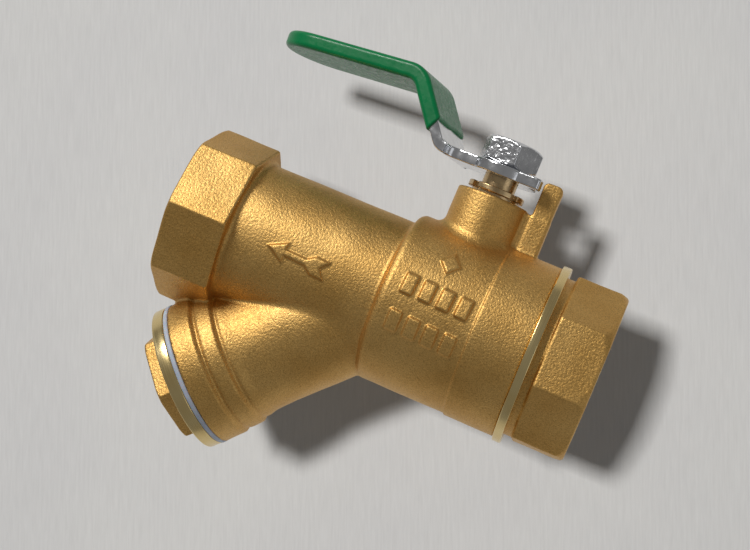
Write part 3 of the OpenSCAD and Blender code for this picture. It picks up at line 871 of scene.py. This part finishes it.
def turned_brass(name, rotation):
    """Freshly turned brass with fine tool marks round the axis."""
    m = Shader(name, Metallic=1.0)
    marks = m.noise(1.0, detail=2.0, vector=m.stretched((5200, 60, 60), rotation))
    patches = m.noise(160, detail=2.0)
    m.colour(m.ramp(patches, [(0.3, (0.83, 0.62, 0.27)), (0.7, (0.90, 0.72, 0.36))]))
    m.rough(m.spread(marks, 0.17, 0.3))
    m.bump(marks, 0.00002, 0.5)
    return m.material


def old_brass(name):
    """Browner brass of the stem and the gland, turned and a little dull."""
    m = Shader(name, Metallic=1.0)
    marks = m.noise(1.0, detail=2.0, vector=m.stretched((90, 90, 5000)))
    patches = m.noise(420, detail=3.0)
    m.colour(m.ramp(patches, [(0.3, (0.52, 0.36, 0.19)), (0.7, (0.74, 0.55, 0.30))]))
    m.rough(m.spread(patches, 0.2, 0.36))
    m.bump(marks, 0.00003, 0.5)
    m.bump(m.noise(1500, detail=1.0), 0.00004, 0.5)
    return m.material


def chrome(name, dimples, depth):
    """Bright plating over a surface that isn't quite smooth."""
    m = Shader(name, Metallic=1.0)
    spots = m.noise(dimples, detail=2.0)
    haze = m.noise(300, detail=3.0)
    m.colour(m.ramp(haze, [(0.3, (0.66, 0.67, 0.69)), (0.7, (0.80, 0.81, 0.83))]))
    m.rough(m.spread(haze, 0.10, 0.22))
    m.bump(spots, depth, 0.8)
    return m.material


def vinyl(name):
    """Dipped vinyl: deep green, glossy, with a slight skin texture."""
    m = Shader(name, Specular_IOR_Level=0.3)
    clouds = m.noise(220, detail=2.0)
    m.colour(m.ramp(clouds, [(0.3, (0.0, 0.195, 0.058)), (0.7, (0.001, 0.225, 0.068))]))
    m.rough(m.spread(m.noise(900, detail=2.0), 0.24, 0.38))
    m.bump(clouds, 0.0003, 0.35)
    m.bump(m.noise(1700, detail=1.0), 0.00003, 0.5)
    return m.material


def plastic_seal(name):
    """White seal plastic, slightly blue and waxy."""
    m = Shader(name, Subsurface_Weight=0.15, Subsurface_Scale=0.001)
    m.colour(m.ramp(m.noise(500, detail=2.0), [(0.3, (0.50, 0.56, 0.68)), (0.7, (0.62, 0.67, 0.77))]))
    m.rough(m.spread(m.noise(1400), 0.4, 0.55))
    m.bump(m.noise(1800), 0.00004, 0.5)
    return m.material


def screen_steel(name):
    """Stainless sheet with a fine woven look."""
    m = Shader(name, Metallic=1.0)
    weave = m.noise(2600, detail=1.0)
    m.colour(m.ramp(weave, [(0.35, (0.36, 0.36, 0.37)), (0.6, (0.66, 0.66, 0.67))]))
    m.rough(m.spread(weave, 0.28, 0.42))
    m.bump(weave, 0.00008, 0.6)
    return m.material


brass_cast = cast_brass("cast_brass")
brass_pipe = turned_brass("turned_brass_pipe", (0, 0, 0))
brass_cap = turned_brass("turned_brass_cap", (0, math.radians(45), 0))
brass_stem = old_brass("stem_brass")
chrome_lever = chrome("chrome_lever", 420, 0.00009)
chrome_nut = chrome("chrome_nut", 750, 0.00024)
green_vinyl = vinyl("green_vinyl")
white_seal = plastic_seal("white_seal")
steel_screen = screen_steel("steel_screen")


def dressed(obj, material, body, slot, *nodes):
    """Gives a piece its material and its body, and hides the CAD nodes that it stands for. slot is not used.
    """
    obj.data.materials.clear()
    obj.data.materials.append(material)
    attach(obj, body)
    if nodes:
        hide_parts(*nodes)
    return obj


# ---------------------------------------------------------------- pieces

# The casting's grid is finer where the arrow, the pads and the diamond stand
RELIEF_X = ((24, 41), (54.5, 77))
RELIEF_Z = ((-6.5, 16),)
RELIEF_Y = ((-21.8, -14.5),)
casting_piece = carved("body_casting", casting, body_low, body_high, step=0.5, fine_step=0.26,
                       fine=(RELIEF_X, RELIEF_Y, RELIEF_Z), most=186000)
dressed(casting_piece, brass_cast, "body", "cast_brass", "valve_body")
connector_piece = carved("inlet_casting", connector_casting, connector_low, connector_high,
                         step=0.42, most=120000)
dressed(connector_piece, brass_cast, "body", "cast_brass", "end_connector")
collar = turned_ring("inlet_collar", BODY_END + 0.02, BODY_END + COLLAR_LENGTH, 18.4, COLLAR_R,
                     pipe_place, rounding=0.25)
dressed(collar, brass_pipe, "body", "cut_brass")
dressed(threaded_liner("outlet_thread", 0.0, 1), brass_pipe, "body", "cut_brass")
dressed(threaded_liner("inlet_thread", LENGTH, -1), brass_pipe, "body", "cut_brass")

gland_piece = carved("gland", gland_field, gland_low, gland_high, step=0.16)
dressed(gland_piece, brass_stem, "body", "cut_brass", "gland_nut")
lever_piece = carved("lever_steel", lever_field, lever_low - 1, lever_high + 1, step=0.27, most=150000)
dressed(lever_piece, chrome_lever, "lever_set", "chrome", "lever")
grip_piece = carved("grip_sleeve", grip_field, grip_low - 1, grip_high + 1, step=0.3, most=150000)
dressed(grip_piece, green_vinyl, "lever_set", "grip", "lever_grip")
nut_piece = carved("hexagon_nut", nut_field, nut_low, nut_high, step=0.16, most=90000)
dressed(nut_piece, chrome_nut, "lever_set", "chrome", "lever_nut")

dressed(cap_flange("cap_flange"), brass_cap, "cap", "cut_brass", "strainer_cap")
hexagon_piece = carved("cap_hexagon", cap_hexagon_field, cap_low, cap_high, step=0.3, most=90000)
dressed(hexagon_piece, brass_cast, "cap", "cast_brass")
gasket = turned_ring("gasket_ring", LEG_REACH + 0.02, CAP_SEAT - 0.03, 14.45, 17.7, leg_place, rounding=0.3)
dressed(gasket, white_seal, "body", "seal", "cap_gasket")

# CAD nodes that keep their shape, and their materials
CARRIED = {
    "ball": chrome_lever, "stem": brass_stem, "body_seal": white_seal, "outlet_seat": white_seal,
    "inlet_seat": white_seal, "thrust_washer": white_seal, "packing_lower": white_seal,
    "packing_upper": white_seal, "screen_tube": steel_screen, "screen_mesh": steel_screen,
    "screen_inner_ring": steel_screen, "screen_outer_ring": steel_screen,
}
for node, material in CARRIED.items():
    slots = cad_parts[node].material_slots
    for i in range(len(slots)):
        slots[i].material = material


# ---------------------------------------------------------------- stage, light and camera

# The backdrop is an upright sheet behind the closed lever's tip. Sizes from here on are in metres
BACKDROP_Y = 0.07
BACKDROP_HALF = 2.5
CAMERA_ROLL = math.radians(22.7)

backdrop_mesh = bpy.data.meshes.new("backdrop")
corners = [(BACKDROP_HALF * a, 0, BACKDROP_HALF * b) for a, b in ((-1, -1), (1, -1), (1, 1), (-1, 1))]
backdrop_mesh.from_pydata(corners, [], [(0, 1, 2, 3)])
backdrop = bpy.data.objects.new("backdrop", backdrop_mesh)
bpy.context.scene.collection.objects.link(backdrop)
backdrop.location = (0.05, BACKDROP_Y, 0)

# Pale sheet with fine streaks, clear when it is seen from behind
table = Shader("table", Roughness=0.6)
streak_place = table.stretched((1500, 1, 95), (0, CAMERA_ROLL, 0))
streaks = table.noise(1.0, detail=4.0, roughness=0.7, vector=streak_place)
clouds = table.noise(14, detail=2.0)
table.colour(table.product(table.ramp(streaks, [(0.3, (0.48, 0.48, 0.475)), (0.7, (0.54, 0.54, 0.535))]),
                           table.ramp(clouds, [(0.3, (0.94, 0.94, 0.95)), (0.7, (1, 1, 0.99))])))
clear = table.tree.nodes.new("ShaderNodeBsdfTransparent")
back = table.tree.nodes.new("ShaderNodeNewGeometry")
mixed = table.tree.nodes.new("ShaderNodeMixShader")
table.link(back.outputs["Backfacing"], mixed.inputs["Fac"])
table.link(table.principled.outputs["BSDF"], mixed.inputs[1])
table.link(clear.outputs["BSDF"], mixed.inputs[2])
table.link(mixed.outputs["Shader"], table.tree.nodes["Material Output"].inputs["Surface"])
backdrop_mesh.materials.append(table.material)

LIT_POINT = Vector((0.052, 0, 0))


def area_light(name, direction, distance, size, power, colour=(1, 1, 1)):
    """A square soft light that shines on the valve's middle from a direction."""
    light = bpy.data.lights.new(name, "AREA")
    light.size = size
    light.energy = power
    light.color = colour
    lamp = bpy.data.objects.new(name, light)
    back_to = Vector(direction).normalized()
    lamp.location = LIT_POINT + back_to * distance
    lamp.rotation_mode = "QUATERNION"
    lamp.rotation_quaternion = back_to.to_track_quat("Z", "Y")
    bpy.context.scene.collection.objects.link(lamp)
    return lamp


def lights_backdrop(lamp, state):
    """Makes a light shine on everything but the backdrop (EXCLUDE) or on the backdrop alone (INCLUDE)."""
    group = bpy.data.collections.new(lamp.name + "_targets")
    group.objects.link(backdrop)
    lamp.light_linking.receiver_collection = group
    group.collection_objects[0].light_linking.link_state = state


# The key shapes the valve, and the table light makes the shadow on the backdrop
key = area_light("key", (-0.6, -0.65, 0.5), 0.8, 0.24, 3.6, (1.0, 0.985, 0.96))
lights_backdrop(key, "EXCLUDE")
table_light = area_light("table_light", (-0.165, -1.0, 0.05), 1.2, 0.10, 13.8, (1.0, 0.985, 0.97))
lights_backdrop(table_light, "INCLUDE")
fill = area_light("fill", (0.9, -0.7, -0.1), 1.0, 0.5, 0.5, (0.95, 0.97, 1.0))
lights_backdrop(fill, "EXCLUDE")
area_light("back", (0.3, 1.0, 0.1), 0.9, 0.5, 4.0)

world = bpy.data.worlds.new("studio")
bpy.context.scene.world = world
world.use_nodes = True
world.node_tree.nodes["Background"].inputs["Color"].default_value = (0.90, 0.89, 0.88, 1)
world.node_tree.nodes["Background"].inputs["Strength"].default_value = 0.2

CAMERA_AT = (0.09883, -0.3395, 0.0062)
CAMERA_TURN = math.radians(8.56)
CAMERA_TILT = math.radians(89.45)
camera = bpy.data.objects.new("camera", bpy.data.cameras.new("camera"))
bpy.context.scene.collection.objects.link(camera)
camera.data.lens = 69.28
camera.data.sensor_width = 36
camera.data.clip_start = 0.01
aim = Matrix.Rotation(CAMERA_TURN, 4, "Z") @ Matrix.Rotation(CAMERA_TILT, 4, "X")
roll = Matrix.Rotation(CAMERA_ROLL, 4, "Z")
camera.matrix_world = Matrix.Translation(CAMERA_AT) @ aim @ roll
bpy.context.scene.camera = camera
bpy.context.scene.view_settings.view_transform = "Standard"
